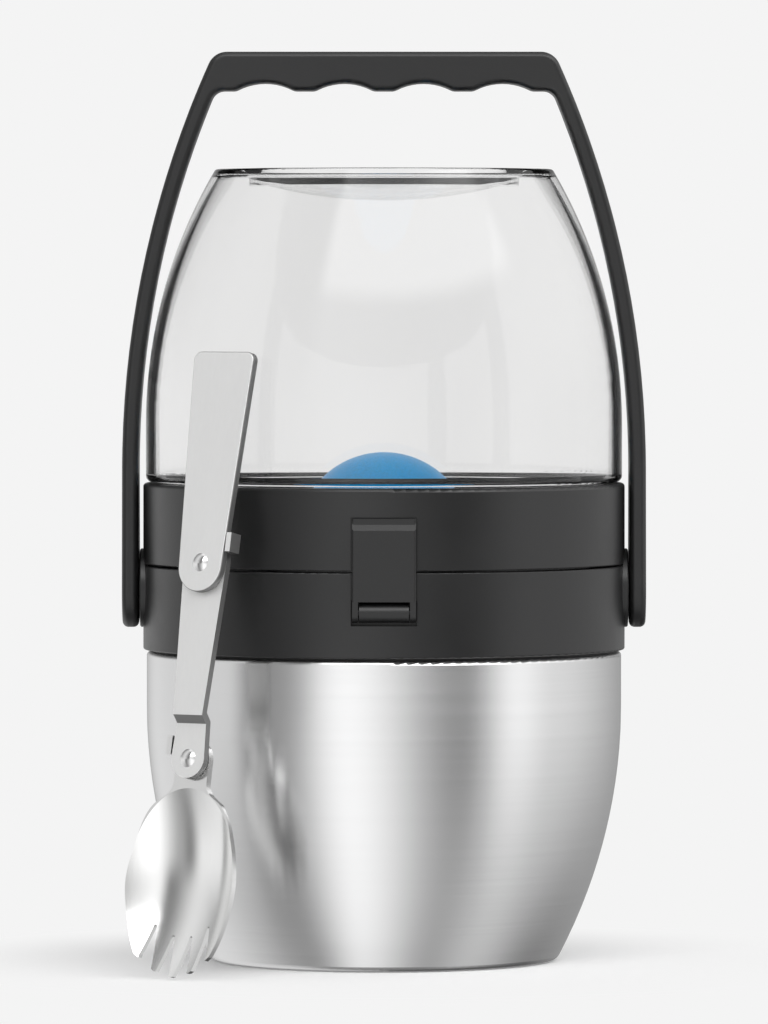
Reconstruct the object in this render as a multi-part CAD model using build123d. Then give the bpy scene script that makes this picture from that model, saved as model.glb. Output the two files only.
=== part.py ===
from build123d import *
from math import cos, degrees, radians, sin, sqrt
import os

# Insulated food jar: a vacuum bowl below, a clear bowl above, a bail handle and a folding spork.
# Millimetres. Origin at the centre of the foot, +Z up, the front latch faces -Y.
# The collars' radius and the vacuum bowl's heights drive the rest.

# ---- Driving dimensions: vacuum bowl ----
collar_r = 63.0           # both collars, the widest round part
shell_inset = 0.9         # steel shell inside the collars' outside
shell_wall = 0.8
belly_z = 66.7            # the side is straight above this and an arc below
belly_arc_r = 141.0
foot_corner_r = 2.2
foot_land = 7.3           # flat ring that the jar stands on, with its corner
shoulder_z = 80.7
shoulder_w = 4.8
shoulder_corner_r = 1.2
liner_gap = 8.1           # from the shell's outside to the liner's outside
liner_wall = 0.6
liner_floor_z = 9.0       # underside of the liner
liner_corner_r = 14.0
neck_h = 19.3             # from the shoulder to the top of the lip
lip_overhang = 1.3        # lip beyond the neck
base_plate_wall = 0.8
base_plate_overlap = 3.5
base_dimple_land = 14.0
base_dimple_h = 2.0
getter_r = 5.0
getter_h = 1.6

shell_r = collar_r - shell_inset
neck_r = shell_r - shoulder_w
lip_z = shoulder_z + neck_h
lip_r = neck_r + lip_overhang
liner_in_r = shell_r - liner_gap - liner_wall

# ---- Driving dimensions: collars ----
rest_gap = 0.3            # air between bodies that part company
collar_wall = 2.0
collar_foot_gap = 0.5     # above the steel shoulder
collar_foot_edge_r = 0.5
seam_rise = 3.4           # middle of the seam, above the lip
seam_gap = 0.5
sleeve_wall = 1.5
sleeve_clearance = 0.1
lip_clearance = 0.4
web_h = 3.1
upper_wall = 2.9
upper_h = 21.3            # from the seam to the collar's top
ledge_rise = 7.0          # top of the divider's ledge, above the seam
ledge_h = 2.0
ledge_reach = 3.1
collar_edge_r = 1.0
seam_edge_r = 0.3
foot_seal_h = 1.4
foot_seal_play = 0.1

seam_z = lip_z + seam_rise
lower_top_z = seam_z - seam_gap / 2
upper_foot_z = seam_z + seam_gap / 2
upper_top_z = seam_z + upper_h
ledge_top_z = seam_z + ledge_rise
collar_foot_z = shoulder_z + collar_foot_gap
sleeve_in_r = neck_r + sleeve_clearance
sleeve_out_r = sleeve_in_r + sleeve_wall
collar_in_r = collar_r - collar_wall
upper_in_r = collar_r - upper_wall

# ---- Driving dimensions: divider between the two bowls ----
divider_plate_h = 1.6
divider_clearance = 0.2
divider_flange_rise = 0.5  # underside of the divider's flange, above the seam
divider_skirt_rise = 1.6   # underside of the skirt, above the lip
skirt_inset = 0.3          # skirt inside the lip's radius
plug_clearance = 1.6
plug_drop = 3.0            # foot of the plug, below the lip
plug_edge_r = 1.5
divider_wall = 2.0
foam_clearance = 0.1
hot_seal_inset = 0.8       # seal inside both edges of the lip
hot_seal_h = 2.3
hot_seal_groove = 1.0
hot_seal_edge_r = 0.6

divider_r = upper_in_r - divider_clearance
divider_skirt_r = lip_r - skirt_inset
divider_skirt_z = lip_z + divider_skirt_rise
divider_flange_z = seam_z + divider_flange_rise
plug_r = liner_in_r - plug_clearance
plug_foot_z = lip_z - plug_drop
hot_seal_in_r = liner_in_r + hot_seal_inset
hot_seal_out_r = lip_r - hot_seal_inset
floor_z = ledge_top_z + divider_plate_h

# ---- Driving dimensions: freezer pack ----
pack_r = 22.9
pack_h = 20.4
pack_wall = 1.2
pack_flange_w = 1.5
pack_flange_h = 1.4
pack_ring_play = 0.4
pack_ring_wall = 1.4
pack_ring_h = 2.2
pack_base_h = 1.2
gel_headroom = 1.3

pack_foot_z = floor_z + rest_gap
pack_top_z = pack_foot_z + pack_h
pack_flange_r = pack_r + pack_flange_w

# ---- Driving dimensions: clear bowl ----
bowl_inset = 0.7          # clear bowl inside the collars' outside
bowl_wall = 2.1
bowl_straight_h = 15.3    # straight side above the collar
bowl_h = 82.0             # from the collar's top to the bowl's foot
bowl_arc_r = 131.0
bowl_floor_wall = 2.0     # wall of the bowl's foot
bowl_corner_r = 1.2
bowl_hem_r = 1.6          # round under the bowl's wide part, above the collar
bowl_foot_land = 10.7     # flat ring of the bowl's foot
bowl_step_h = 2.6
bowl_step_land = 3.0
bowl_dish_h = 3.8
thread_clearance = 0.3
neck_floor_gap = 2.4
bowl_taper_h = 2.2        # cone inside, from the neck out to the wide part
bowl_seal_edge_r = 0.5
bowl_seal_play = 0.1

bowl_r = collar_r - bowl_inset
bowl_straight_z = upper_top_z + bowl_straight_h
bowl_top_z = upper_top_z + bowl_h
bowl_foot_z = upper_top_z + rest_gap
bowl_neck_r = upper_in_r - thread_clearance
neck_end_z = floor_z + neck_floor_gap

# ---- Driving dimensions: latches ----
latch_w = 16.3
latch_h = 26.5
latch_wall = 2.2
latch_rise = 13.6         # top of the latch, above the seam
latch_stand_out = 1.5     # face of the latch, beyond the collars
latch_side_gap = 0.35
knuckle_w = 12.7
knuckle_r = 2.5
knuckle_gap = 0.3
latch_pin_r = 1.0
latch_pin_inset = 0.3
pin_clearance = 0.05
step_drop = 1.5           # from the latch's top to its set-back step
step_slope_h = 1.5
step_depth = 0.9
hook_w = 8.0
hook_reach = 1.1
hook_h = 2.0
hook_drop = 4.4           # underside of the hook, below the latch's top
hook_gap = 0.4
latch_edge_r = 0.5
block_margin = 2.0        # solid collar beside and below each latch pocket

latch_face_y = collar_r + latch_stand_out
latch_top_z = seam_z + latch_rise
hook_z = latch_top_z - hook_drop
pin_y = latch_face_y - knuckle_r
pin_z = latch_top_z - latch_h + knuckle_r
pocket_half_w = latch_w / 2 + latch_side_gap
plate_back_y = latch_face_y - latch_wall
pocket_y = plate_back_y - rest_gap
deep_pocket_y = pin_y - knuckle_r - rest_gap
deep_pocket_z0 = pin_z - knuckle_r - 3 * rest_gap
deep_pocket_z1 = pin_z + knuckle_r + knuckle_gap + rest_gap
outside_y = collar_r + latch_h    # beyond everything that a pocket has to clear

# ---- Driving dimensions: carry handle ----
pivot_drop = 6.2          # handle's pivot, below the seam
boss_stand_out = 0.8
boss_root = 1.3           # back of the boss, inside the collar's outside
boss_room_gap = 0.35      # round the boss, in the upper collar
arm_gap = 0.3
arm_wall = 4.3
arm_straight_h = 3.3      # the arms are upright to this far above the collar
arm_arc_r = 259.0
arm_end_r = 10.3
arm_half_w = 7.6
arm_taper_h = 34.0
arm_bend_r = 60.0
hand_gap = 20.4           # from the clear bowl to the grip
grip_h = 10.1
grip_half_w = 9.6
grip_taper_h = 34.0
grip_flare_drop = 4.0
grip_corner_r = 5.2
grip_inner_corner_r = 3.5
finger_count = 4
finger_depth = 2.0
finger_chord = 15.2       # each hollow's breadth
finger_rim_r = 3.0
finger_margin = 2.6       # from the last hollow's share of the grip to the arm
handle_edge_r = 1.5
pivot_shank_r = 3.0
pivot_head_r = 5.0
pivot_head_h = 1.2
pivot_head_sink = 0.3
pivot_root = 3.4          # end of the pivot pin, inside the collar's outside

pivot_z = seam_z - pivot_drop
boss_face_x = collar_r + boss_stand_out
boss_root_x = collar_r - boss_root
pivot_root_x = collar_r - pivot_root
arm_outer_x = boss_face_x + arm_gap + arm_wall
arm_straight_z = upper_top_z + arm_straight_h
grip_foot_z = bowl_top_z + hand_gap
grip_top_z = grip_foot_z + grip_h

# ---- Driving dimensions: spork ----
spork_yaw = 34.0          # turn of the spork's face towards the jar's left
spork_tilt = 11.5         # the spork leans back against the clear bowl
spork_top_gap = 1.5       # lets the clear bowl rise past the handle's top
spork_set = -5.9          # both pivots, sideways from the jar's axis
tine_gap = 0.4            # from the floor
plate = 2.0
plate_gap = 0.3
stamped_edge_r = 0.4
handle_length = 54.8
handle_top_w = 18.9
handle_end_w = 13.3
handle_end_drop = 0.9     # centre of the round end, below the pivot
handle_corner_r = 2.3
link_length = 49.9        # between the pivots
link_top_w = 13.2
link_neck_w = 8.9         # at the joggle
link_end_w = 10.2
joggle = 2.2
joggle_rise = 9.9         # middle of the joggle's front, above the lower pivot
joggle_run = 1.9
spork_length = 55.9       # from the lower pivot to the middle tine's tip
spork_bowl_half_w = 16.6
spork_bowl_depth = 5.9
spork_bowl_wall = 1.4
spork_dish_arc_r = 58.0
spork_dish_back = 23.0    # deepest point, from the middle tine's tip
shank_reach = 5.5         # straight shank below the pivot
spork_sides = ((0.20, 0.59), (0.38, 0.89), (0.57, 1.0), (0.76, 0.89))  # shares of length and half width
tine_count = 5
tine_pitch = 5.5
tine_tip_w = 1.3
outer_tine_rise = 5.5     # outer tips above the middle one
notch_depth = 10.0        # from the tips to the round root's centre
outer_notch_depth = 9.8
notch_r = 0.4
rivet_r = 1.2
rivet_head_r = 2.35
rivet_head_h = 0.8
ear_wall = 1.5
ear_h = 4.9
lower_ear_rise = 0.8      # foot of the lower ear, above its pivot
upper_ear_round = 2.5     # round of each ear's shoulder about its pivot, beyond the ear's foot
lower_ear_round = 1.0
joint_overlap = 0.5       # pieces of one sheet, drawn into each other

link_back = plate + plate_gap
link_upper_back = link_back + joggle
handle_back = link_upper_back + plate + plate_gap
lower_pivot = spork_length
upper_pivot = lower_pivot + link_length
spork_top = upper_pivot + handle_length

os.makedirs("parts", exist_ok=True)


# ---- Shared shapes ----
def ring(inner_r, outer_r, foot_z, height):
    """A plain ring about the jar's axis."""
    body = Pos(0, 0, foot_z) * Cylinder(outer_r, height, align=(Align.CENTER, Align.CENTER, Align.MIN))
    if inner_r > 0:
        body -= Pos(0, 0, foot_z) * Cylinder(inner_r, height, align=(Align.CENTER, Align.CENTER, Align.MIN))
    return body


def turned(*points):
    """A solid turned about the jar's axis from a closed outline of (radius, height)."""
    return revolve(Plane.XZ * make_face(Polyline(*points, close=True)), Axis.Z)


def arc_inset(arc_r, rise):
    """How far an arc that starts upright has come in after a rise."""
    return arc_r - sqrt(arc_r**2 - rise**2)


def round_edge(body, radius, z, fillet_r):
    """Rounds the circular edges of one radius and height."""
    near = [
        e for e in body.edges().filter_by(GeomType.CIRCLE)
        if abs(e.radius - radius) < 0.05 and abs(e.center(CenterOf.MASS).Z - z) < 0.05
    ]
    return fillet(near, fillet_r)


def x_pin(radius, x0, x1, y, z):
    """A round bar along X."""
    return Pos(min(x0, x1), y, z) * Rot(0, 90, 0) * Cylinder(
        radius, abs(x1 - x0), align=(Align.CENTER, Align.CENTER, Align.MIN)
    )


def block(x0, x1, y0, y1, z0, z1):
    """A box between two corners."""
    return Pos((x0 + x1) / 2, (y0 + y1) / 2, (z0 + z1) / 2) * Box(x1 - x0, y1 - y0, z1 - z0)


# ---- Vacuum bowl ----
foot_hole_r = shell_r - arc_inset(belly_arc_r, belly_z) - foot_land
base_dimple_r = foot_hole_r - base_dimple_land


def belly(inset, floor_z, top_z, corner_r):
    """The bowl's barrel shape, moved inward by an inset, from its floor to a flat top."""
    wide_r = shell_r - inset
    arc_r = belly_arc_r - inset
    foot_r = wide_r - arc_inset(arc_r, belly_z - floor_z)
    middle_z = (floor_z + belly_z) / 2
    middle_r = wide_r - arc_inset(arc_r, belly_z - middle_z)
    outline = (
        Polyline((0, top_z), (0, floor_z), (foot_r, floor_z))
        + ThreePointArc((foot_r, floor_z), (middle_r, middle_z), (wide_r, belly_z))
        + Polyline((wide_r, belly_z), (wide_r, top_z), (0, top_z))
    )
    body = revolve(Plane.XZ * make_face(outline), Axis.Z)
    return round_edge(body, foot_r, floor_z, corner_r)


def make_outer_shell():
    def skin(inset, corner_r, shoulder_r):
        side = belly(inset, inset, shoulder_z - inset, corner_r)
        side = round_edge(side, shell_r - inset, shoulder_z - inset, shoulder_r)
        return side + ring(0, neck_r - inset, belly_z, lip_z - liner_wall - belly_z)

    body = skin(0, foot_corner_r, shoulder_corner_r)
    body -= skin(shell_wall, foot_corner_r - shell_wall, shoulder_corner_r - shell_wall)
    return body - ring(0, foot_hole_r, -shell_wall, 3 * shell_wall)


def make_inner_liner():
    top_z = lip_z - liner_wall
    body = belly(liner_gap, liner_floor_z, top_z, liner_corner_r)
    body += ring(0, lip_r, top_z, liner_wall)
    hollow_floor = liner_floor_z + liner_wall
    hollow = belly(liner_gap + liner_wall, hollow_floor, top_z, liner_corner_r - liner_wall)
    return body - hollow - ring(0, shell_r - liner_gap - liner_wall, belly_z, lip_z)


def make_base_plate():
    plate_r = foot_hole_r + base_plate_overlap
    body = ring(0, plate_r, shell_wall, base_plate_wall)
    body += ring(0, base_dimple_r, shell_wall, base_dimple_h)
    return body - ring(0, base_dimple_r - base_plate_wall, 0, shell_wall + base_dimple_h - base_plate_wall)


def make_vacuum_getter():
    return ring(0, getter_r, shell_wall + base_dimple_h, getter_h)


# ---- Collars ----
def half_turn(body):
    """The same piece on the other side of the jar's axis."""
    return Rot(0, 0, 180) * body


def both_sides(body):
    """The piece and its twin half a turn round."""
    return body + half_turn(body)


def make_lower_collar():
    sleeve_top_z = lip_z - liner_wall
    body = turned(
        (sleeve_in_r, shoulder_z),
        (sleeve_out_r, shoulder_z),
        (sleeve_out_r, sleeve_top_z - web_h),
        (collar_in_r, sleeve_top_z - web_h),
        (collar_in_r, collar_foot_z),
        (collar_r, collar_foot_z),
        (collar_r, lower_top_z),
        (lip_r + lip_clearance, lower_top_z),
        (lip_r + lip_clearance, sleeve_top_z),
        (sleeve_in_r, sleeve_top_z),
    )
    body = round_edge(body, collar_r, collar_foot_z, collar_foot_edge_r)
    body = round_edge(body, collar_r, lower_top_z, seam_edge_r)
    channel_foot_z = deep_pocket_z0 - block_margin
    channel = ring(sleeve_out_r, collar_in_r, channel_foot_z, sleeve_top_z - web_h - channel_foot_z)
    latch_half_w = pocket_half_w + block_margin
    body += channel & both_sides(block(-latch_half_w, latch_half_w, 0, collar_r, 0, upper_top_z))
    body += channel & both_sides(block(0, collar_r, -arm_end_r, arm_end_r, 0, upper_top_z))

    pocket = block(-pocket_half_w, pocket_half_w, deep_pocket_y, outside_y, deep_pocket_z0, deep_pocket_z1)
    pocket += block(-pocket_half_w, pocket_half_w, pocket_y, outside_y, deep_pocket_z1 - 1, upper_top_z)
    body -= both_sides(pocket)

    knuckle = x_pin(knuckle_r, -knuckle_w / 2, knuckle_w / 2, pin_y, pin_z)
    knuckle += block(
        -knuckle_w / 2, knuckle_w / 2, deep_pocket_y - 0.5, pin_y, pin_z - knuckle_r, pin_z + knuckle_r
    )
    knuckle -= x_pin(latch_pin_r, -knuckle_w, knuckle_w, pin_y, pin_z)
    body += both_sides(knuckle)

    boss = x_pin(arm_end_r, boss_root_x, boss_face_x, 0, pivot_z)
    boss = chamfer(boss.edges().group_by(Axis.X)[-1], seam_edge_r)
    body += both_sides(boss)
    return body - both_sides(x_pin(pivot_shank_r, pivot_root_x, boss_face_x + 1, 0, pivot_z))


def make_collar_seal():
    return ring(sleeve_out_r + foot_seal_play, collar_in_r - foot_seal_play, shoulder_z, foot_seal_h)


def make_upper_collar():
    body = turned(
        (upper_in_r, upper_foot_z),
        (collar_r, upper_foot_z),
        (collar_r, upper_top_z),
        (upper_in_r, upper_top_z),
        (upper_in_r, ledge_top_z),
        (upper_in_r - ledge_reach, ledge_top_z),
        (upper_in_r - ledge_reach, ledge_top_z - ledge_h),
        (upper_in_r, ledge_top_z - ledge_h),
    )
    body = round_edge(body, collar_r, upper_top_z, collar_edge_r)
    body = round_edge(body, collar_r, upper_foot_z, seam_edge_r)
    pocket = block(-pocket_half_w, pocket_half_w, pocket_y, outside_y, 0, latch_top_z + latch_side_gap)
    hook_half_w = hook_w / 2 + latch_side_gap
    pocket += block(
        -hook_half_w, hook_half_w, plate_back_y - hook_reach - rest_gap, outside_y, hook_z - hook_gap,
        hook_z + hook_h + hook_gap,
    )
    boss_room = x_pin(arm_end_r + boss_room_gap, boss_root_x - rest_gap, outside_y, 0, pivot_z)
    return body - both_sides(pocket) - both_sides(boss_room)


# ---- Divider ----
def make_divider_plate():
    body = ring(0, divider_r, ledge_top_z, divider_plate_h)
    ring_in_r = pack_flange_r + pack_ring_play
    return body + ring(ring_in_r, ring_in_r + pack_ring_wall, floor_z, pack_ring_h)


def make_divider_underside():
    flange_top_z = ledge_top_z - ledge_h
    skirt_in_r = divider_r - divider_wall
    body = turned(
        (0, plug_foot_z),
        (plug_r, plug_foot_z),
        (plug_r, divider_skirt_z),
        (divider_skirt_r, divider_skirt_z),
        (divider_skirt_r, divider_flange_z),
        (divider_r, divider_flange_z),
        (divider_r, flange_top_z),
        (skirt_in_r, flange_top_z),
        (skirt_in_r, divider_skirt_z + divider_wall),
        (plug_r - divider_wall, divider_skirt_z + divider_wall),
        (plug_r - divider_wall, plug_foot_z + divider_wall),
        (0, plug_foot_z + divider_wall),
    )
    body = round_edge(body, plug_r, plug_foot_z, plug_edge_r)
    return body - ring(hot_seal_in_r, hot_seal_out_r, divider_skirt_z - 1, 1 + hot_seal_groove)


def make_divider_foam():
    wide_r = divider_r - divider_wall - foam_clearance
    plug_in_r = plug_r - divider_wall - foam_clearance
    top_r = upper_in_r - ledge_reach - foam_clearance
    step_z = divider_skirt_z + divider_wall + foam_clearance
    ledge_foot_z = ledge_top_z - ledge_h - foam_clearance
    return turned(
        (0, plug_foot_z + divider_wall),
        (plug_in_r, plug_foot_z + divider_wall),
        (plug_in_r, step_z),
        (wide_r, step_z),
        (wide_r, ledge_foot_z),
        (top_r, ledge_foot_z),
        (top_r, ledge_top_z),
        (0, ledge_top_z),
    )


def make_hot_seal():
    foot_z = divider_skirt_z + hot_seal_groove - hot_seal_h
    body = ring(hot_seal_in_r, hot_seal_out_r, foot_z, hot_seal_h)
    return fillet(body.edges().group_by(Axis.Z)[0], hot_seal_edge_r)


# ---- Freezer pack ----
def pack_dome(inset):
    """The pack's round cap above its base, moved inward by an inset."""
    centre_z = pack_top_z - pack_r
    ball = Pos(0, 0, centre_z) * Sphere(pack_r - inset)
    return ball & ring(0, pack_r, pack_foot_z + pack_base_h, pack_top_z)


def make_freezer_shell():
    body = pack_dome(0) + ring(0, pack_flange_r, pack_foot_z, pack_flange_h)
    body -= pack_dome(pack_wall)
    return body - ring(0, pack_r - pack_wall, pack_foot_z - 1, 1 + pack_base_h)


def make_freezer_gel():
    return pack_dome(pack_wall + foam_clearance) & ring(
        0, pack_r, pack_foot_z + pack_base_h, pack_h - pack_base_h - gel_headroom
    )


def make_freezer_base():
    return ring(0, pack_r - pack_wall - foam_clearance, pack_foot_z, pack_base_h)


# ---- Clear bowl ----
def bowl_skin(inset, foot_z, neck_inset, taper_top_z):
    """The bowl's outside, or its inside when inset, with its neck below."""
    wide_r = bowl_r - inset
    arc_r = bowl_arc_r - inset
    top_z = bowl_top_z - (bowl_floor_wall if inset else 0)
    top_r = wide_r - arc_inset(arc_r, top_z - bowl_straight_z)
    middle_z = (top_z + bowl_straight_z) / 2
    middle_r = wide_r - arc_inset(arc_r, middle_z - bowl_straight_z)
    neck = bowl_neck_r - neck_inset
    outline = (
        Polyline(
            (0, top_z), (0, foot_z), (neck, foot_z), (neck, bowl_foot_z), (wide_r, taper_top_z),
            (wide_r, bowl_straight_z),
        )
        + ThreePointArc((wide_r, bowl_straight_z), (middle_r, middle_z), (top_r, top_z))
        + Line((top_r, top_z), (0, top_z))
    )
    return revolve(Plane.XZ * make_face(outline), Axis.Z), top_r, top_z


def make_top_bowl():
    outside, top_r, top_z = bowl_skin(0, neck_end_z, 0, bowl_foot_z)
    outside = round_edge(outside, top_r, top_z, bowl_corner_r)
    outside = round_edge(outside, bowl_r, bowl_foot_z, bowl_hem_r)
    step_r = top_r - bowl_foot_land
    dish_r = step_r - bowl_step_land
    step_z = bowl_top_z - bowl_step_h
    arc_r = (dish_r**2 + bowl_dish_h**2) / (2 * bowl_dish_h)
    arc_z = step_z - bowl_dish_h + arc_r
    outside -= ring(0, step_r, step_z, bowl_step_h + 1)
    dish_room = ring(0, dish_r, step_z - 2 * bowl_dish_h, 2 * bowl_dish_h + 1)
    outside -= Pos(0, 0, arc_z) * Sphere(arc_r) & dish_room
    inside, in_r, in_z = bowl_skin(bowl_wall, neck_end_z - 1, bowl_wall, bowl_foot_z + bowl_taper_h)
    inside = round_edge(inside, in_r, in_z, bowl_floor_wall)
    inside -= ring(0, step_r + bowl_floor_wall, step_z - bowl_floor_wall, bowl_h)
    under_room = ring(0, step_r, step_z - 3 * bowl_dish_h, 3 * bowl_dish_h)
    inside -= Pos(0, 0, arc_z) * Sphere(arc_r + bowl_floor_wall) & under_room
    return outside - inside


def make_bowl_seal():
    foot_z = floor_z + rest_gap
    height = neck_end_z - rest_gap - foot_z
    body = ring(bowl_neck_r - bowl_wall, bowl_neck_r - bowl_seal_play, foot_z, height)
    return fillet(body.edges(), bowl_seal_edge_r)


# ---- Latches ----
def make_latch():
    """The rear latch; the front one is the same piece half a turn round."""
    front_y = latch_face_y
    outline = Polyline(
        (plate_back_y, pin_z + knuckle_r + knuckle_gap),
        (front_y, pin_z + knuckle_r + knuckle_gap),
        (front_y, latch_top_z - step_drop - step_slope_h),
        (front_y - step_depth, latch_top_z - step_drop),
        (front_y - step_depth, latch_top_z),
        (plate_back_y, latch_top_z),
        (plate_back_y, hook_z + hook_h),
        (plate_back_y, hook_z),
        close=True,
    )
    body = Pos(-latch_w / 2, 0, 0) * extrude(Plane.YZ * make_face(outline), latch_w)
    front_edges = [
        e for e in body.edges().filter_by(Axis.Z)
        if e.center().Y > front_y - step_depth - 0.1
    ]
    body = fillet(front_edges, latch_edge_r)
    leg_w = (latch_w - knuckle_w) / 2 - knuckle_gap
    for side in (-1, 1):
        outer_x = side * latch_w / 2
        inner_x = side * (latch_w / 2 - leg_w)
        x0, x1 = min(outer_x, inner_x), max(outer_x, inner_x)
        leg = x_pin(knuckle_r, x0, x1, pin_y, pin_z)
        leg += block(x0, x1, plate_back_y, front_y, pin_z, pin_z + knuckle_r + knuckle_gap)
        body += leg
    body += block(
        -hook_w / 2, hook_w / 2, plate_back_y - hook_reach, plate_back_y + 0.5, hook_z, hook_z + hook_h
    )
    return body - x_pin(latch_pin_r + pin_clearance, -latch_w, latch_w, pin_y, pin_z)


def make_latch_pin():
    half = latch_w / 2 - latch_pin_inset
    return x_pin(latch_pin_r, -half, half, pin_y, pin_z)


# ---- Carry handle ----
grip_in_x = boss_face_x + arm_gap - arc_inset(arm_arc_r - arm_wall, grip_foot_z - arm_straight_z)
finger_pitch = 2 * (grip_in_x - finger_margin) / finger_count


def arch(outer_x, arc_r, top_z, corner_r):
    """An arch seen from the front: upright legs, arcs leaning in, and a flat top."""
    top_x = outer_x - arc_inset(arc_r, top_z - arm_straight_z)
    middle_z = (arm_straight_z + top_z) / 2
    middle_x = outer_x - arc_inset(arc_r, middle_z - arm_straight_z)
    foot_z = pivot_z - 2 * arm_end_r
    outline = Polyline(
        (-outer_x, arm_straight_z), (-outer_x, foot_z), (outer_x, foot_z), (outer_x, arm_straight_z)
    )
    outline += ThreePointArc((outer_x, arm_straight_z), (middle_x, middle_z), (top_x, top_z))
    outline += Line((top_x, top_z), (-top_x, top_z))
    outline += ThreePointArc((-top_x, top_z), (-middle_x, middle_z), (-outer_x, arm_straight_z))
    face = make_face(outline)
    return fillet(face.vertices().group_by(Axis.Y)[-1], corner_r)


def side_outline():
    """The handle seen from the side: a round end at the pivot, slim arms and a broad grip."""
    slim_z0 = pivot_z + arm_taper_h
    slim_z1 = grip_foot_z - grip_taper_h
    flare_z = grip_foot_z - grip_flare_drop
    taper = make_face(Polyline(
        (arm_end_r, pivot_z), (arm_half_w, slim_z0), (arm_half_w, slim_z1),
        (grip_half_w, flare_z), (grip_half_w, grip_top_z + 1), (-grip_half_w, grip_top_z + 1),
        (-grip_half_w, flare_z), (-arm_half_w, slim_z1), (-arm_half_w, slim_z0), (-arm_end_r, pivot_z),
        close=True,
    ))
    bends = [
        v for v in taper.vertices()
        if abs(v.Y - slim_z0) < 1 or abs(v.Y - slim_z1) < 1 or abs(v.Y - flare_z) < 1
    ]
    taper = fillet(bends, arm_bend_r)
    return taper + Pos(0, pivot_z) * Circle(arm_end_r)


def make_carry_handle():
    outside = arch(arm_outer_x, arm_arc_r, grip_top_z, grip_corner_r)
    inside = arch(arm_outer_x - arm_wall, arm_arc_r - arm_wall, grip_foot_z, grip_inner_corner_r)
    finger_r = ((finger_chord / 2) ** 2 + finger_depth**2) / (2 * finger_depth)
    for i in range(finger_count):
        finger_x = (i - (finger_count - 1) / 2) * finger_pitch
        inside += Pos(finger_x, grip_foot_z + finger_depth - finger_r) * Circle(finger_r)
    last_rim_x = ((finger_count - 1) * finger_pitch + finger_chord) / 2
    rims = [v for v in inside.vertices() if abs(v.Y - grip_foot_z) < 0.01 and abs(v.X) < last_rim_x + 0.1]
    inside = fillet(rims, finger_rim_r)
    front = extrude(Plane.XZ * (outside - inside), arm_end_r + 1, both=True)
    side = extrude(Plane.YZ * side_outline(), arm_outer_x + 1, both=True)
    body = front & side
    body = fillet(body.edges(), handle_edge_r)
    sink_x = arm_outer_x - pivot_head_sink - pivot_head_h - rest_gap
    bore = x_pin(pivot_shank_r + pin_clearance, 0, arm_outer_x + 1, 0, pivot_z)
    bore += x_pin(pivot_head_r + rest_gap, sink_x, arm_outer_x + 1, 0, pivot_z)
    return body - both_sides(bore)


def make_pivot_pin():
    """The right-hand pin; the left one is the same piece half a turn round."""
    head_top_x = arm_outer_x - pivot_head_sink
    body = x_pin(pivot_shank_r, pivot_root_x, head_top_x - pivot_head_h, 0, pivot_z)
    return body + x_pin(pivot_head_r, head_top_x - pivot_head_h, head_top_x, 0, pivot_z)


# ---- Spork ----
# Each flat piece is drawn face on about its lower pivot: X to the right, Y up, Z towards the user.
# The face starts at the tines and leans back until the handle's top is beside the clear bowl.
tilt = radians(spork_tilt)
yaw = radians(spork_yaw)
spork_top_z = tine_gap + spork_top * cos(tilt) + handle_back * sin(tilt)
bowl_side_r = bowl_r - arc_inset(bowl_arc_r, spork_top_z - bowl_straight_z)
spork_foot = bowl_side_r + spork_top_gap + spork_top * sin(tilt) - handle_back * cos(tilt)
spork_face = Plane(
    origin=(-spork_foot * sin(yaw), -spork_foot * cos(yaw), tine_gap),
    x_dir=(cos(yaw), -sin(yaw), 0),
    z_dir=(-sin(yaw) * cos(tilt), -cos(yaw) * cos(tilt), sin(tilt)),
)


def stand(body, pivot, back):
    """Stands a face-on piece up at its pivot."""
    return spork_face.location * Pos(spork_set, pivot, back) * body


def z_bar(radius, z0, z1, y=0.0):
    """A round bar standing on the face-on drawing."""
    return Pos(0, y, z0) * Cylinder(radius, z1 - z0, align=(Align.CENTER, Align.CENTER, Align.MIN))


def strap(end_w, end_y, top_w, top_y):
    """A flat strap's outline, round at its foot and tapering to its top."""
    sides = make_face(Polyline(
        (-end_w / 2, end_y), (end_w / 2, end_y), (top_w / 2, top_y), (-top_w / 2, top_y), close=True
    ))
    return sides + Pos(0, end_y) * Circle(end_w / 2)


def make_spork_handle():
    outline = strap(handle_end_w, -handle_end_drop, handle_top_w, handle_length)
    outline = fillet(outline.vertices().group_by(Axis.Y)[-1], handle_corner_r)
    body = extrude(outline, plate)
    body = fillet(body.edges().group_by(Axis.Z)[-1], stamped_edge_r)
    body -= z_bar(rivet_r + pin_clearance, -1, plate + 1)
    return stand(body, upper_pivot, handle_back)


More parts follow.
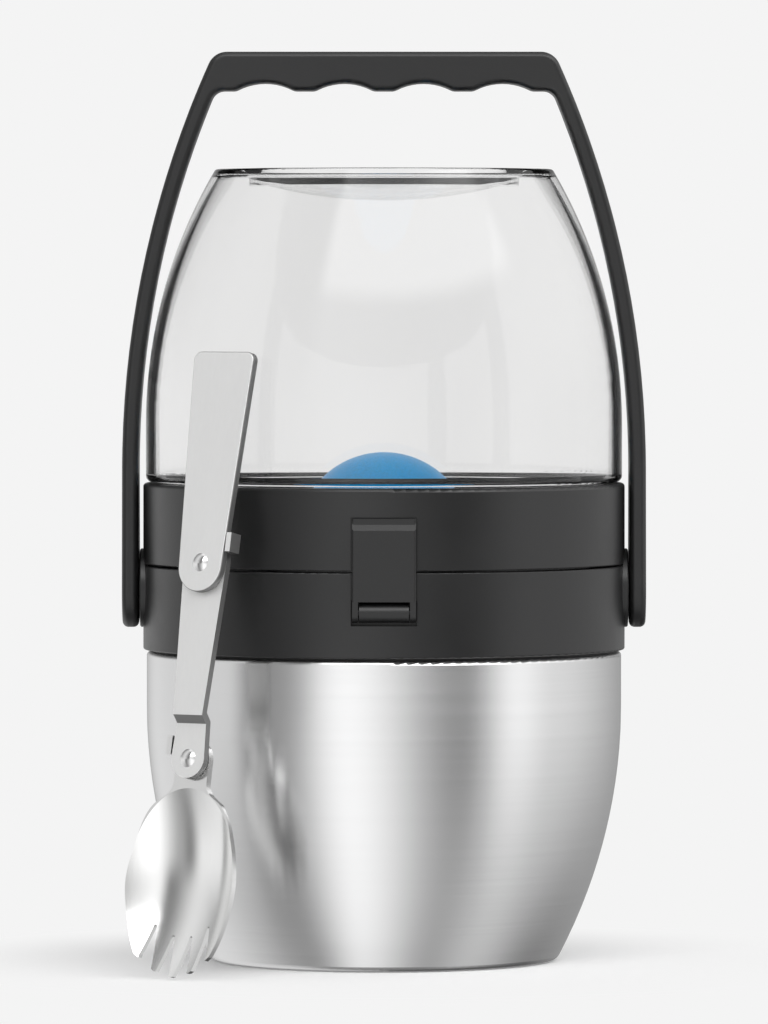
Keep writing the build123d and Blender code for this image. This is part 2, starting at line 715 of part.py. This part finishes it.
def make_spork_link():
    outline = strap(link_end_w, 0, link_neck_w, joggle_rise)
    outline += make_face(Polyline(
        (-link_neck_w / 2, joggle_rise), (link_neck_w / 2, joggle_rise), (link_top_w / 2, link_length),
        (-link_top_w / 2, link_length), close=True,
    ))
    outline += Pos(0, link_length) * Circle(link_top_w / 2)
    front = extrude(outline, plate + joggle)
    front_y0 = joggle_rise - joggle_run / 2
    front_y1 = joggle_rise + joggle_run / 2
    bend_shift = plate * (sqrt(joggle**2 + joggle_run**2) - joggle_run) / joggle
    far = link_length + link_top_w
    side = make_face(Polyline(
        (-link_end_w, 0), (front_y0 + bend_shift, 0), (front_y1 + bend_shift, joggle), (far, joggle),
        (far, joggle + plate), (front_y1, joggle + plate), (front_y0, plate), (-link_end_w, plate),
        close=True,
    ))
    body = front & extrude(Plane.YZ * side, link_top_w, both=True)
    ear_x = handle_end_w / 2 + 2 * rest_gap
    end_sweep_r = handle_end_w / 2 + handle_end_drop + rest_gap    # room for the handle's end to turn in
    ear_y = link_length + sqrt(end_sweep_r**2 - ear_x**2)
    ear_front = joggle + 2 * plate + plate_gap
    body += block(ear_x, ear_x + ear_wall, ear_y, ear_y + ear_h, joggle, ear_front)
    body += block(0, ear_x + ear_wall, ear_y, ear_y + ear_h, joggle, joggle + plate) & z_bar(
        ear_x + ear_wall + upper_ear_round, 0, joggle + plate, link_length
    )
    body -= z_bar(rivet_r + pin_clearance, -1, plate + joggle + 1)
    body -= z_bar(rivet_r, -1, plate + joggle + 1, link_length)
    return stand(body, lower_pivot, link_back)


def tine_tips():
    """The tips of the tines, left to right, on a shallow curve."""
    half = (tine_count - 1) / 2
    places = [(i - half) / half for i in range(tine_count)]
    return [(p * half * tine_pitch, outer_tine_rise * p**2 - spork_length) for p in places]


def spork_outline(tips):
    """The spork bowl's outline with its shank, before the notches between the tines."""
    half = link_end_w / 2
    corner = (tips[-1][0] + tine_tip_w / 2, tips[-1][1])
    side = [(share_w * spork_bowl_half_w, -share_l * spork_length) for share_l, share_w in spork_sides]
    right = Spline((half, -shank_reach), *side, corner, tangents=((0, -1), (-0.55, -1)))
    foot = [(-corner[0], corner[1])] + tips[1:-1] + [corner]
    top = Line((-half, -shank_reach), (half, -shank_reach))
    face = make_face(top + right + mirror(right, Plane.YZ) + Polyline(*foot))
    shank = make_face(Polyline(
        (-half, 0), (half, 0), (half, -shank_reach - joint_overlap),
        (-half, -shank_reach - joint_overlap), close=True,
    ))
    return face + shank + Circle(half)


def notch(left_tip, right_tip, depth):
    """The V between two tines, round at its root."""
    (x0, y0), (x1, y1) = left_tip, right_tip
    half_tip = tine_tip_w / 2
    root = ((x0 + x1) / 2, (y0 + y1) / 2 + depth)
    slot = make_face(Polyline(
        (x0 + half_tip, y0), (root[0] - notch_r, root[1]), (root[0] + notch_r, root[1]), (x1 - half_tip, y1),
        (x1 - half_tip, y1 - outer_tine_rise), (x0 + half_tip, y0 - outer_tine_rise), close=True,
    ))
    return slot + Pos(*root) * Circle(notch_r)


def make_spork_bowl():
    tips = tine_tips()
    face = spork_outline(tips)
    for i, (left_tip, right_tip) in enumerate(zip(tips, tips[1:])):
        outer = i in (0, tine_count - 2)
        face -= notch(left_tip, right_tip, outer_notch_depth if outer else notch_depth)
    across_r = (spork_bowl_half_w**2 + spork_bowl_depth**2) / (2 * spork_bowl_depth)
    deepest = plate - spork_bowl_depth
    dish_y = spork_dish_back - spork_length
    axis = Axis((0, dish_y, deepest + spork_dish_arc_r), (1, 0, 0))
    span = degrees(spork_length / spork_dish_arc_r)    # swept past both ends of the piece

    def hollow(extra):
        """What a curved bowl holds, to just above its rim."""
        disc = Pos(0, deepest + across_r) * Circle(across_r + extra)
        low = Pos(0, deepest - extra) * Rectangle(4 * spork_bowl_half_w, 4 * spork_bowl_depth)
        section = Plane.XZ.offset(-dish_y) * (disc & low)
        return revolve(section.rotate(axis, -span), axis, 2 * span)

    pressed = hollow(spork_bowl_wall)
    pressed += block(-link_end_w, link_end_w, dish_y / 2, link_end_w, 0, plate)
    body = Pos(0, 0, plate - spork_length) * extrude(face, spork_length) & pressed
    body -= hollow(0)
    ear_x = link_end_w / 2 + rest_gap
    ear_y = lower_ear_rise
    body += block(-ear_x - ear_wall, -ear_x, ear_y, ear_y + ear_h, 0, 2 * plate + plate_gap)
    body += block(-ear_x - ear_wall, 0, ear_y, ear_y + ear_h, 0, plate) & z_bar(
        ear_x + ear_wall + lower_ear_round, 0, plate
    )
    body -= z_bar(rivet_r, -1, plate + 1)
    return stand(body, lower_pivot, 0)


def rivet(grip):
    """A rivet with a domed head each side of its grip."""
    dome_r = (rivet_head_r**2 + rivet_head_h**2) / (2 * rivet_head_h)
    front = Pos(0, 0, grip + rivet_head_h - dome_r) * Sphere(dome_r) & z_bar(rivet_head_r, grip, grip + 2)
    back = Pos(0, 0, dome_r - rivet_head_h) * Sphere(dome_r) & z_bar(rivet_head_r, -2, 0)
    return front + back + z_bar(rivet_r, 0, grip)


def make_lower_rivet():
    return stand(rivet(2 * plate + plate_gap), lower_pivot, 0)


def make_upper_rivet():
    return stand(rivet(2 * plate + plate_gap), upper_pivot, link_upper_back)


if __name__ == "__main__":
    parts = {
        "outer_shell": make_outer_shell(),
        "inner_liner": make_inner_liner(),
        "base_plate": make_base_plate(),
        "vacuum_getter": make_vacuum_getter(),
        "lower_collar": make_lower_collar(),
        "collar_seal": make_collar_seal(),
        "upper_collar": make_upper_collar(),
        "divider_plate": make_divider_plate(),
        "divider_foam": make_divider_foam(),
        "divider_underside": make_divider_underside(),
        "hot_seal": make_hot_seal(),
        "freezer_shell": make_freezer_shell(),
        "freezer_gel": make_freezer_gel(),
        "freezer_base": make_freezer_base(),
        "top_bowl": make_top_bowl(),
        "bowl_seal": make_bowl_seal(),
        "rear_latch": make_latch(),
        "front_latch": half_turn(make_latch()),
        "rear_latch_pin": make_latch_pin(),
        "front_latch_pin": half_turn(make_latch_pin()),
        "carry_handle": make_carry_handle(),
        "right_pivot_pin": make_pivot_pin(),
        "left_pivot_pin": half_turn(make_pivot_pin()),
        "spork_handle": make_spork_handle(),
        "spork_link": make_spork_link(),
        "spork_bowl": make_spork_bowl(),
        "lower_rivet": make_lower_rivet(),
        "upper_rivet": make_upper_rivet(),
    }
    for name, shape in parts.items():
        export_step(shape, f"parts/{name}.step")
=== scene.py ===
import math

import bmesh
import bpy
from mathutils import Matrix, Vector

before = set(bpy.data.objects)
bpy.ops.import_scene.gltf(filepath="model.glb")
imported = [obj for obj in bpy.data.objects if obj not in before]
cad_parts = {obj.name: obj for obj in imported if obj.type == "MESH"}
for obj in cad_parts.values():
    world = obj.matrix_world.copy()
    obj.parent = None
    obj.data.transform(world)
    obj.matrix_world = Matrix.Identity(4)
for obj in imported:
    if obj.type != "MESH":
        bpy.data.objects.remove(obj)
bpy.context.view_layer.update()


# ---- Steel shell of the vacuum bowl ----
# The barrel is drawn from stainless sheet and brushed round and round on a lathe,
# so fine lines run level about it and the light breaks into upright bands.
def add(tree, kind, settings=None, **sockets):
    """One shader node, its settings and its sockets' values or the outputs that feed them."""
    made = tree.nodes.new("ShaderNode" + kind)
    for name, value in (settings or {}).items():
        setattr(made, name, value)
    for name, value in sockets.items():
        key = int(name[1:]) if name[0] == "i" and name[1:].isdigit() else name.replace("_", " ")
        if isinstance(value, bpy.types.NodeSocket):
            tree.links.new(value, made.inputs[key])
        else:
            made.inputs[key].default_value = value
    return made


def finish(name, **plain):
    """A new material with one Principled shader, whose constants are set straight on its sockets."""
    made = bpy.data.materials.new(name)
    made.use_nodes = True
    shader = made.node_tree.nodes["Principled BSDF"]
    for socket, value in plain.items():
        shader.inputs[socket.replace("_", " ")].default_value = value
    return made, made.node_tree, shader


def feed(tree, shader, **outputs):
    """Links outputs to the shader's sockets."""
    for socket, value in outputs.items():
        tree.links.new(value, shader.inputs[socket.replace("_", " ")])


def group(name, sockets_in, sockets_out):
    """An empty shader group with named inputs and outputs."""
    made = bpy.data.node_groups.new(name, "ShaderNodeTree")
    for socket, (kind, value) in sockets_in.items():
        item = made.interface.new_socket(socket, in_out="INPUT", socket_type="NodeSocket" + kind)
        if value is not None:
            item.default_value = value
    for socket, kind in sockets_out.items():
        made.interface.new_socket(socket, in_out="OUTPUT", socket_type="NodeSocket" + kind)
    return made, made.nodes.new("NodeGroupInput").outputs, made.nodes.new("NodeGroupOutput").inputs


def use(tree, shared, **sockets):
    """Places a shared group in a material with its own values."""
    made = tree.nodes.new("ShaderNodeGroup")
    made.node_tree = shared
    for name, value in sockets.items():
        if isinstance(value, bpy.types.NodeSocket):
            tree.links.new(value, made.inputs[name.replace("_", " ")])
        else:
            made.inputs[name.replace("_", " ")].default_value = value
    return made.outputs


def dress(material, *nodes):
    """Gives solids of the frame a finish."""
    for name in nodes:
        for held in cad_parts[name].material_slots:
            held.material = material


def place(tree, scale, turn=(0, 0, 0)):
    """Where a point lies on the piece, stretched so that lines and specks get their real size."""
    where = add(tree, "TexCoord").outputs["Object"]
    return add(tree, "Mapping", Vector=where, Rotation=turn, Scale=scale).outputs["Vector"]


brushed, got, give = group(
    "Brushed Lines",
    {"Place": ("Vector", None), "Metal": ("Color", (0.7, 0.7, 0.7, 1)), "Shine": ("Float", 0.3),
     "Streak": ("Float", 0.1)},
    {"Metal": "Color", "Roughness": "Float", "Height": "Float"},
)
broad_share = 0.6      # of the broad bands, against the fine lines
average = 0.8          # of both together
dulling = 0.9          # how much duller a bright line is
fine = add(brushed, "TexNoise", Vector=got["Place"], Scale=1.0, Detail=3.0, Roughness=0.6).outputs["Fac"]
broad = add(brushed, "TexNoise", Vector=got["Place"], Scale=0.12, Detail=2.0, Roughness=0.5).outputs["Fac"]
both = add(brushed, "Math", {"operation": "MULTIPLY_ADD"}, i0=broad, i1=broad_share, i2=fine).outputs[0]
centred = add(brushed, "Math", {"operation": "SUBTRACT"}, i0=both, i1=average).outputs[0]
swing = add(brushed, "Math", {"operation": "MULTIPLY"}, i0=centred, i1=got["Streak"]).outputs[0]
lift = add(brushed, "Math", {"operation": "ADD"}, i0=swing, i1=1.0).outputs[0]
toned = add(brushed, "VectorMath", {"operation": "SCALE"}, i0=got["Metal"], Scale=lift).outputs[0]
shine = add(brushed, "Math", {"operation": "MULTIPLY_ADD"}, i0=swing, i1=dulling, i2=got["Shine"]).outputs[0]
brushed.links.new(toned, give["Metal"])
brushed.links.new(shine, give["Roughness"])
brushed.links.new(both, give["Height"])


def metal(name, tone, shine, streak, stretch, relief=None, **plain):
    """A bare metal whose lines or specks are stretched over it, with a relief of (strength, height)."""
    made, tree, shader = finish(name, Metallic=1.0, **plain)
    lines = use(tree, brushed, Place=place(tree, stretch), Metal=(*tone, 1), Shine=shine, Streak=streak)
    feed(tree, shader, Base_Color=lines["Metal"], Roughness=lines["Roughness"])
    if relief:
        bump = add(tree, "Bump", Strength=relief[0], Distance=relief[1], Height=lines["Height"])
        feed(tree, shader, Normal=bump.outputs[0])
    return made


shell_steel = metal(
    "shell_steel", (0.72, 0.72, 0.722), shine=0.23, streak=0.07, stretch=(14, 14, 3600),
    relief=(0.05, 0.00003), Anisotropic=0.90, Anisotropic_Rotation=0.25
)
dress(shell_steel, "outer_shell")


# ---- Liner, base plate and getter ----
# The bowl's inside is a second drawn cup, polished a little brighter for washing. A plate with
# a dimple closes the foot, and behind it a dark getter disc keeps the vacuum.
liner_steel = metal(
    "liner_steel", (0.74, 0.74, 0.745), shine=0.22, streak=0.10, stretch=(10, 10, 1500),
    relief=(0.06, 0.00004)
)
dress(liner_steel, "inner_liner", "base_plate")
getter_metal = metal("getter_metal", (0.2, 0.2, 0.21), shine=0.5, streak=0.3, stretch=(900, 900, 900))
dress(getter_metal, "vacuum_getter")


# ---- Collars and latches ----
# Moulded in black polypropylene. The mould leaves a fine satin grain, and hands leave
# a faint sheen that comes and goes over it.
moulded, got, give = group(
    "Moulded Skin",
    {"Place": ("Vector", None), "Colour": ("Color", (0.03, 0.03, 0.03, 1)), "Shine": ("Float", 0.4),
     "Touch": ("Float", 0.1)},
    {"Colour": "Color", "Roughness": "Float", "Height": "Float"},
)
where = got["Place"]
grain = add(moulded, "TexNoise", Vector=where, Scale=1.0, Detail=2.0, Roughness=0.6).outputs["Fac"]
pits = add(moulded, "TexVoronoi", {"feature": "SMOOTH_F1"}, Vector=where, Scale=0.55).outputs["Distance"]
hands = add(moulded, "TexNoise", Vector=where, Scale=0.018, Detail=4.0, Roughness=0.65).outputs["Fac"]
held = add(moulded, "MapRange", Value=hands, From_Min=0.35, From_Max=0.7, To_Min=-1.0, To_Max=1.0).outputs[0]
sheen = add(moulded, "Math", {"operation": "MULTIPLY"}, i0=held, i1=got["Touch"]).outputs[0]
skin = add(moulded, "Math", {"operation": "ADD"}, i0=sheen, i1=got["Shine"]).outputs[0]
speck = add(moulded, "MapRange", Value=grain, From_Min=0.3, From_Max=0.7, To_Min=0.9, To_Max=1.1).outputs[0]
shade = add(moulded, "VectorMath", {"operation": "SCALE"}, i0=got["Colour"], Scale=speck).outputs[0]
tall = add(moulded, "Math", {"operation": "ADD"}, i0=grain, i1=pits).outputs[0]
moulded.links.new(shade, give["Colour"])
moulded.links.new(skin, give["Roughness"])
moulded.links.new(tall, give["Height"])
grain_height = 0.00005


def plastic(name, colour, shine, touch, grains=2200.0, depth=0.12, **plain):
    """A moulded plastic with its own colour, gloss and grains to the metre."""
    made, tree, shader = finish(name, **plain)
    skin = use(tree, moulded, Place=place(tree, (grains,) * 3), Colour=(*colour, 1), Shine=shine, Touch=touch)
    bump = add(tree, "Bump", Strength=depth, Distance=grain_height, Height=skin["Height"])
    feed(tree, shader, Base_Color=skin["Colour"], Roughness=skin["Roughness"], Normal=bump.outputs[0])
    return made


black = (0.008, 0.008, 0.0083)
black_plastic = plastic("black_plastic", black, shine=0.36, touch=0.04)
dress(black_plastic, "lower_collar", "upper_collar", "front_latch", "rear_latch")


# ---- Latch pins ----
# Drawn steel wire, cut to length and pressed through the collar's knuckle. Its near-black tone is
# painted shade: it keeps the gaps of the hinge dark, where a bright pin would glint.
pin_steel = metal("pin_steel", (0.06, 0.06, 0.062), shine=0.45, streak=0.12, stretch=(40, 2600, 2600))
dress(pin_steel, "front_latch_pin", "rear_latch_pin")


# ---- Seals ----
# The collar and the clear bowl each sit on a black rubber ring. The hot bowl's seal is pale
# silicone, soft and a little translucent.
black_rubber = plastic(
    "black_rubber", (0.008, 0.008, 0.008), shine=0.65, touch=0.08, grains=1500.0, depth=0.2
)
dress(black_rubber, "collar_seal", "bowl_seal")
silicone = plastic(
    "silicone", (0.62, 0.62, 0.6), shine=0.38, touch=0.06, grains=1200.0, depth=0.08, Subsurface_Weight=0.15,
    Subsurface_Scale=0.002
)
dress(silicone, "hot_seal")


# ---- Divider between hot and cold ----
# Two glossy black shells welded round a block of foam: the top one is the cold bowl's floor,
# the lower one plugs the vacuum bowl.
divider_plastic = plastic(
    "divider_plastic", (0.006, 0.006, 0.0063), shine=0.2, touch=0.03, grains=1600.0, depth=0.02
)
dress(divider_plastic, "divider_plate", "divider_underside")

insulating_foam, tree, shader = finish("insulating_foam")
cells = add(tree, "TexVoronoi", Vector=place(tree, (1100, 1100, 1100)), Scale=1.0).outputs["Distance"]
cream = add(tree, "MixRGB", Fac=cells, Color1=(0.78, 0.76, 0.7, 1), Color2=(0.9, 0.89, 0.85, 1)).outputs[0]
rough = add(tree, "MapRange", Value=cells, To_Min=0.8, To_Max=0.95).outputs[0]
bump = add(tree, "Bump", Strength=0.6, Distance=0.0004, Height=cells)
feed(tree, shader, Base_Color=cream, Roughness=rough, Normal=bump.outputs[0])
dress(insulating_foam, "divider_foam")


# ---- Freezer pack ----
# A blue polyethylene dome full of gel, closed by a welded disc. The wall lets a little
# light in, so it glows softly.
blue_plastic = plastic(
    "blue_plastic", (0.004, 0.45, 0.97), shine=0.36, touch=0.05, grains=1400.0, depth=0.06,
    Subsurface_Weight=0.12, Subsurface_Scale=0.004, Specular_IOR_Level=0.25
)
dress(blue_plastic, "freezer_shell", "freezer_base")

freezer_gel, tree, shader = finish("freezer_gel", IOR=1.36, Transmission_Weight=0.4)
cloud = add(tree, "TexNoise", Vector=place(tree, (120, 120, 120)), Scale=1.0, Detail=3.0).outputs["Fac"]
tint = add(tree, "MixRGB", Fac=cloud, Color1=(0.12, 0.38, 0.62, 1), Color2=(0.3, 0.58, 0.8, 1)).outputs[0]
rough = add(tree, "MapRange", Value=cloud, To_Min=0.1, To_Max=0.3).outputs[0]
feed(tree, shader, Base_Color=tint, Roughness=rough)
dress(freezer_gel, "freezer_gel")


# ---- Clear bowl ----
# Moulded in one shot of clear copolyester with a thick wall. It is glossy, with a slight
# wave from the mould and the odd wipe mark.
clear_plastic, tree, shader = finish(
    "clear_plastic", Transmission_Weight=1.0, IOR=1.42, Base_Color=(0.932, 0.931, 0.930, 1)
)
wave = add(tree, "TexNoise", Vector=place(tree, (22, 22, 16)), Scale=1.0, Detail=1.0).outputs["Fac"]
wiped = place(tree, (60, 60, 25))
wipes = add(tree, "TexNoise", Vector=wiped, Scale=1.0, Detail=5.0, Roughness=0.7).outputs["Fac"]
rough = add(tree, "MapRange", Value=wipes, From_Min=0.5, From_Max=0.85, To_Min=0.01, To_Max=0.06).outputs[0]
bump = add(tree, "Bump", Strength=0.05, Distance=0.001, Height=wave)
feed(tree, shader, Roughness=rough, Normal=bump.outputs[0])
dress(clear_plastic, "top_bowl")


# ---- Carry handle ----
# One stiff black moulding, grained like the collars, that swings on two pins
# pressed into the collar's bosses.
handle_plastic = plastic("handle_plastic", black, shine=0.40, touch=0.04)
dress(handle_plastic, "carry_handle", "right_pivot_pin", "left_pivot_pin")


# ---- Folding spork ----
# Three stampings in stainless strip, joined by two bright rivets. The bowl is polished. The two
# flat pieces are satin on their faces, and their edges and bends carry painted shade, a painted dark
# reflection.
yaw = math.radians(34.0)       # the spork's face is turned to the jar's left
lean = math.radians(11.5)      # and leans back
face_way = (-math.sin(yaw) * math.cos(lean), -math.cos(yaw) * math.cos(lean), math.sin(lean))
painted_edge_shade = 0.30                 # painted shade on edges and bends, as a share of the face's tone


def stamped(name, shine, streak, edge_shade):
    """Stainless strip with a grain along the spork's length, and painted shade on the edges and bends that
    turn away from the spork's face.
    """
    made, tree, shader = finish(name, Metallic=1.0)
    lengthwise = place(tree, (1500, 1500, 30), (-lean, 0, yaw))
    lines = use(tree, brushed, Place=lengthwise, Metal=(0.90, 0.90, 0.895, 1), Shine=shine, Streak=streak)
    outward = add(tree, "TexCoord").outputs["Normal"]
    facing = add(tree, "VectorMath", {"operation": "DOT_PRODUCT"}, i0=outward, i1=face_way).outputs["Value"]
    facing = add(tree, "Math", {"operation": "ABSOLUTE"}, i0=facing).outputs[0]
    # Painted shade: surfaces turned away from the spork's face, its edges and bends, are darkened.
    tone = add(tree, "MapRange", Value=facing, From_Min=0.7, From_Max=0.97, To_Min=edge_shade).outputs[0]
    toned = add(tree, "VectorMath", {"operation": "SCALE"}, i0=lines["Metal"], Scale=tone).outputs[0]
    bump = add(tree, "Bump", Strength=0.03, Distance=0.00003, Height=lines["Height"])
    feed(tree, shader, Base_Color=toned, Roughness=lines["Roughness"], Normal=bump.outputs[0])
    return made


dress(stamped("spork_satin", shine=0.52, streak=0.05, edge_shade=painted_edge_shade), "spork_handle", "spork_link")
dress(stamped("spork_polish", shine=0.16, streak=0.05, edge_shade=1.0), "spork_bowl")
rivet_steel = metal("rivet_steel", (0.8, 0.8, 0.8), shine=0.12, streak=0.06, stretch=(900, 900, 900))
dress(rivet_steel, "lower_rivet", "upper_rivet")


# ---- Studio ----
# A pale paper floor that fades into a backdrop of the same tone. Round it stand soft lights, white
# boards and black cards, with one large light high in front. The camera is a little above the collars.
pale = 0.905
floor_r = 1.6
floor_drop = 0.0003        # keeps the paper clear of the jar's foot
shadow_r = 0.05            # the shadow is whole to here
shadow_end_r = 0.13        # and gone here

floor_mesh = bpy.data.meshes.new("floor")
rings = bmesh.new()
bmesh.ops.create_circle(rings, cap_ends=True, segments=96, radius=floor_r)
rings.to_mesh(floor_mesh)
rings.free()
floor = bpy.data.objects.new("floor", floor_mesh)
floor.location = (0, 0, -floor_drop)
bpy.context.scene.collection.objects.link(floor)


def soft_step(tree, value, start, end):
    """A soft step from 0 to 1."""
    return add(
        tree, "MapRange", {"interpolation_type": "SMOOTHSTEP"}, Value=value, From_Min=start, From_Max=end
    ).outputs[0]


def grey(level):
    """One brightness in all three colours."""
    return (level, level, level, 1)


def mix(tree, share, under, over):
    """Lays one colour over another by a share."""
    return add(tree, "MixRGB", Fac=share, Color1=under, Color2=over).outputs[0]


def either(tree, one, other):
    """1 where either kind of ray is meant."""
    return add(tree, "Math", {"operation": "MAXIMUM"}, i0=one, i1=other).outputs[0]


floor_paint, tree, shader = finish("floor_paint", Roughness=1.0, Specular_IOR_Level=0.0)
where = add(tree, "TexCoord").outputs["Object"]
speck = add(tree, "TexNoise", Vector=where, Scale=300.0, Detail=2.0).outputs["Fac"]
feed(tree, shader, Base_Color=mix(tree, speck, grey(0.88), grey(0.90)))
away = add(tree, "VectorMath", {"operation": "LENGTH"}, i0=where).outputs["Value"]
fade = soft_step(tree, away, shadow_r, shadow_end_r)
glow = add(tree, "Emission", Color=grey(pale), Strength=1.0).outputs[0]
blended = add(tree, "MixShader", i0=fade, i1=shader.outputs[0], i2=glow).outputs[0]
ray = add(tree, "LightPath").outputs
through = either(tree, ray["Is Glossy Ray"], ray["Is Transmission Ray"])
clear = add(tree, "BsdfTransparent").outputs[0]
seen = add(tree, "MixShader", i0=through, i1=blended, i2=clear).outputs[0]
tree.links.new(seen, tree.nodes["Material Output"].inputs["Surface"])
floor_mesh.materials.append(floor_paint)

# What stands round the jar at three heights: degrees to the right of the front, and brightness.
# Each light, board or card passes softly into the next.
level_lights = [
    (-180, 0.40),                  # open side of the studio
    (-142, 0.90), (-82, 0.90),     # white board, left
    (-65, 0.20),                   # black card
    (-54, 0.40),                   # grey wall
    (-18, 1.30),                   # main light
    (38, 0.20),                    # black card
    (67, 1.25),                    # narrow light
    (92, 0.90),                    # white board, right
    (180, 0.35),                   # open side again
]
low_lights = [
    (-180, 0.55),                  # open side
    (-156, 0.90), (-140, 0.90),    # foot of the white board
    (-61, 0.35),                   # foot of the black card
    (-18, 1.30),                   # main light
    (41, 0.50),                    # grey wall
    (74, 0.70),                    # foot of the narrow light
    (137, 0.10), (180, 0.10),      # dark floor behind
]
high_lights = [
    (-180, 0.25), (-139, 0.25),    # open side
    (-83, 0.80),                   # white board, left
    (-43, 0.20),                   # black card
    (-29, 1.05),                   # main light
    (24, 0.45), (45, 0.50),        # grey wall
    (77, 1.45), (90, 1.50),        # narrow light
    (180, 0.10),                   # open side again
]
brightest = max(level for lights in (level_lights, low_lights, high_lights) for _, level in lights)

studio = bpy.data.worlds.new("studio")
studio.use_nodes = True
bpy.context.scene.world = studio
tree = studio.node_tree
way = add(tree, "SeparateXYZ", Vector=add(tree, "TexCoord").outputs["Generated"]).outputs
front = add(tree, "Math", {"operation": "MULTIPLY"}, i0=way["Y"], i1=-1.0).outputs[0]
azimuth = add(tree, "Math", {"operation": "ARCTAN2"}, i0=way["X"], i1=front).outputs[0]
turn = add(tree, "MapRange", Value=azimuth, From_Min=-math.pi, From_Max=math.pi).outputs[0]
up = add(tree, "Math", {"operation": "ARCSINE"}, i0=way["Z"]).outputs[0]


def lights_round(lights):
    """The soft lights and cards at one height, all round the jar."""
    ramp = add(tree, "ValToRGB", Fac=turn)
    stops = ramp.color_ramp
    stops.interpolation = "EASE"
    while len(stops.elements) > 1:
        stops.elements.remove(stops.elements[-1])
    for i, (degrees, level) in enumerate(lights):
        at = (degrees + 180) / 360
        stop = stops.elements[0] if i == 0 else stops.elements.new(at)
        stop.position = at
        stop.color = grey(level / brightest)
    return add(tree, "VectorMath", {"operation": "SCALE"}, i0=ramp.outputs[0], Scale=brightest).outputs[0]


def between(value, start, end):
    """A soft step between two angles in degrees."""
    return soft_step(tree, value, math.radians(start), math.radians(end))


def both_of(one, other):
    """The part that two masks share."""
    return add(tree, "Math", {"operation": "MULTIPLY"}, i0=one, i1=other).outputs[0]


sinking = add(
    tree, "MapRange", Value=up, From_Min=math.radians(-3), From_Max=math.radians(-36)
).outputs[0]
lit = mix(tree, sinking, lights_round(level_lights), lights_round(low_lights))
lit = mix(tree, between(up, 0, 16), lit, lights_round(high_lights))
lit = mix(tree, between(up, 55, 75), lit, grey(1.15))          # white ceiling
high_light = both_of(between(up, 26, 33), between(up, 62, 52))
high_light = both_of(high_light, between(azimuth, -40, -30))
high_light = both_of(high_light, between(azimuth, 85, 72))
lit = mix(tree, high_light, lit, grey(4.0))
lit = mix(tree, between(up, -58, -75), lit, grey(0.22))        # shade under the jar
ray = add(tree, "LightPath").outputs
lit = mix(tree, ray["Is Diffuse Ray"], lit, grey(0.63))        # evens the light on matt surfaces
backdrop = either(tree, ray["Is Camera Ray"], ray["Is Transmission Ray"])
shown = mix(tree, backdrop, lit, grey(pale))
tree.links.new(shown, tree.nodes["Background"].inputs["Color"])

aim_z = 0.117              # the camera looks at the middle of the jar
camera = bpy.data.objects.new("camera", bpy.data.cameras.new("camera"))
camera.data.sensor_width = 36.0
camera.data.lens = 316.5
camera.data.clip_start = 0.05
camera.data.clip_end = 30.0
camera.location = (0.0, -2.356, 0.183)
camera.rotation_euler = (Vector((0, 0, aim_z)) - camera.location).to_track_quat("-Z", "Y").to_euler()
bpy.context.scene.collection.objects.link(camera)
bpy.context.scene.camera = camera
bpy.context.scene.view_settings.view_transform = "Standard"
